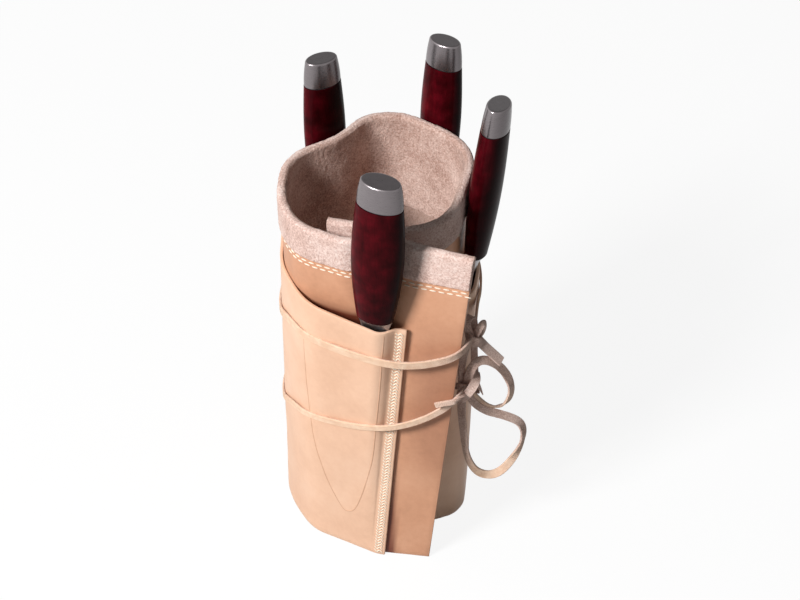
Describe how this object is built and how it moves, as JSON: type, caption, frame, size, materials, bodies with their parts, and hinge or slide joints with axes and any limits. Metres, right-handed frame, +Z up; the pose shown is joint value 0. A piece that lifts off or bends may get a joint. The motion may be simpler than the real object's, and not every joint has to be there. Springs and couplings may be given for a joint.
{
  "type": "leather knife roll",
  "caption": "Rolled leather knife roll with a turned suede cuff and a lace tied in a bow, holding kitchen knives that slide out of the pockets on its outside.",
  "frame": {"origin": "middle of the foot of the box round the roll and its knives, on the surface it stands on", "axes": "+Z up along the roll; +Y from the front knife towards the back one; +X to the right, towards the bow"},
  "size_m": [0.1635, 0.1709, 0.3193],
  "materials": {
    "smooth_leather": "smooth natural vegetable-tanned leather",
    "suede": "napped flesh-side suede",
    "lace_leather": "flat suede lace",
    "burgundy_wood": "deep red dyed wood, polished",
    "cap_steel": "satin",
    "blade_steel": "satin",
    "black_spacer": "thin black fibre ring"
  },
  "bodies": {
    "roll": {"back_panel": "smooth_leather", "pocket_panel": "smooth_leather", "suede_flap": "suede", "lace_upper_knot": "lace_leather", "lace_lower_knot": "lace_leather", "lace_upper_winding": "lace_leather", "lace_lower_winding": "lace_leather", "lace_upper_tail": "lace_leather", "lace_hanging_end": "lace_leather", "lace_joining_strand": "lace_leather", "lace_upper_loop": "lace_leather", "lace_lower_loop": "lace_leather", "lace_short_end": "lace_leather", "lace_pointed_end": "lace_leather"},
    "front_knife": {"front_blade": "blade_steel", "front_bolster": "cap_steel", "front_handle": "burgundy_wood", "front_spacer": "black_spacer", "front_end_cap": "cap_steel"},
    "right_knife": {"right_blade": "blade_steel", "right_bolster": "cap_steel", "right_handle": "burgundy_wood", "right_spacer": "black_spacer", "right_end_cap": "cap_steel"},
    "back_knife": {"back_blade": "blade_steel", "back_bolster": "cap_steel", "back_handle": "burgundy_wood", "back_spacer": "black_spacer", "back_end_cap": "cap_steel"},
    "left_back_knife": {"left_back_blade": "blade_steel", "left_back_bolster": "cap_steel", "left_back_handle": "burgundy_wood", "left_back_spacer": "black_spacer", "left_back_end_cap": "cap_steel"}
  },
  "joints": [
    {"name": "front_knife_slide", "type": "slide", "parent": "roll", "child": "front_knife", "axis": [0.0401, -0.0218, 0.999], "range_m": [0, 0.188]},
    {"name": "right_knife_slide", "type": "slide", "parent": "roll", "child": "right_knife", "axis": [0.1117, 0.1255, 0.9858], "range_m": [0, 0.095]},
    {"name": "back_knife_slide", "type": "slide", "parent": "roll", "child": "back_knife", "axis": [0.039, 0.0578, 0.9976], "range_m": [0, 0.13]},
    {"name": "left_back_knife_slide", "type": "slide", "parent": "roll", "child": "left_back_knife", "axis": [-0.0246, 0.0462, 0.9986], "range_m": [0, 0.11]}
  ]
}
